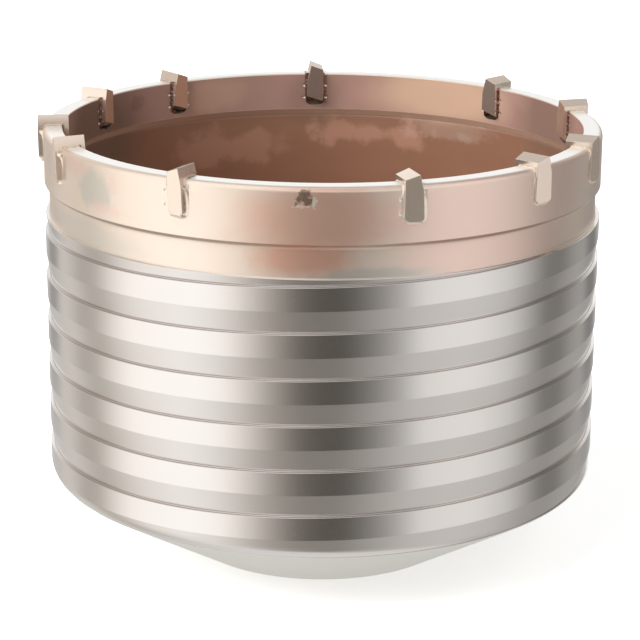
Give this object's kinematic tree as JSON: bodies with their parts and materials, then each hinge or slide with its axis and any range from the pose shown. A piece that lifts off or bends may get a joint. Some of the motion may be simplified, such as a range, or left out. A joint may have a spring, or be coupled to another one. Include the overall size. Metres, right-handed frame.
{
  "type": "core drill bit",
  "caption": "Core cutter head: steel cup with a helical sawtooth rib, a slotted rim with brazed carbide tips, a conical back and a taper socket in its hub.",
  "frame": {"origin": "centre of the hub's flat rear face, on the cutter's axis", "axes": "+Z along the axis towards the cutting tips, +X to the right and +Y away when seen from the front"},
  "size_m": [0.1232, 0.1233, 0.0977],
  "materials": {
    "cup_steel": "satin turned steel with a pale plating, tinted copper and pink by the brazing heat towards the rim and inside",
    "carbide": "ground cemented carbide, matt grey-brown",
    "braze_metal": "bright pale braze filler"
  },
  "bodies": {
    "root": {"body": "cup_steel", "tip_01": "carbide", "tip_02": "carbide", "tip_03": "carbide", "tip_04": "carbide", "tip_05": "carbide", "tip_06": "carbide", "tip_07": "carbide", "tip_08": "carbide", "tip_09": "carbide", "tip_10": "carbide", "tip_11": "carbide", "braze_01": "braze_metal", "braze_02": "braze_metal", "braze_03": "braze_metal", "braze_04": "braze_metal", "braze_05": "braze_metal", "braze_06": "braze_metal", "braze_07": "braze_metal", "braze_08": "braze_metal", "braze_09": "braze_metal", "braze_10": "braze_metal", "braze_11": "braze_metal"}
  },
  "joints": []
}
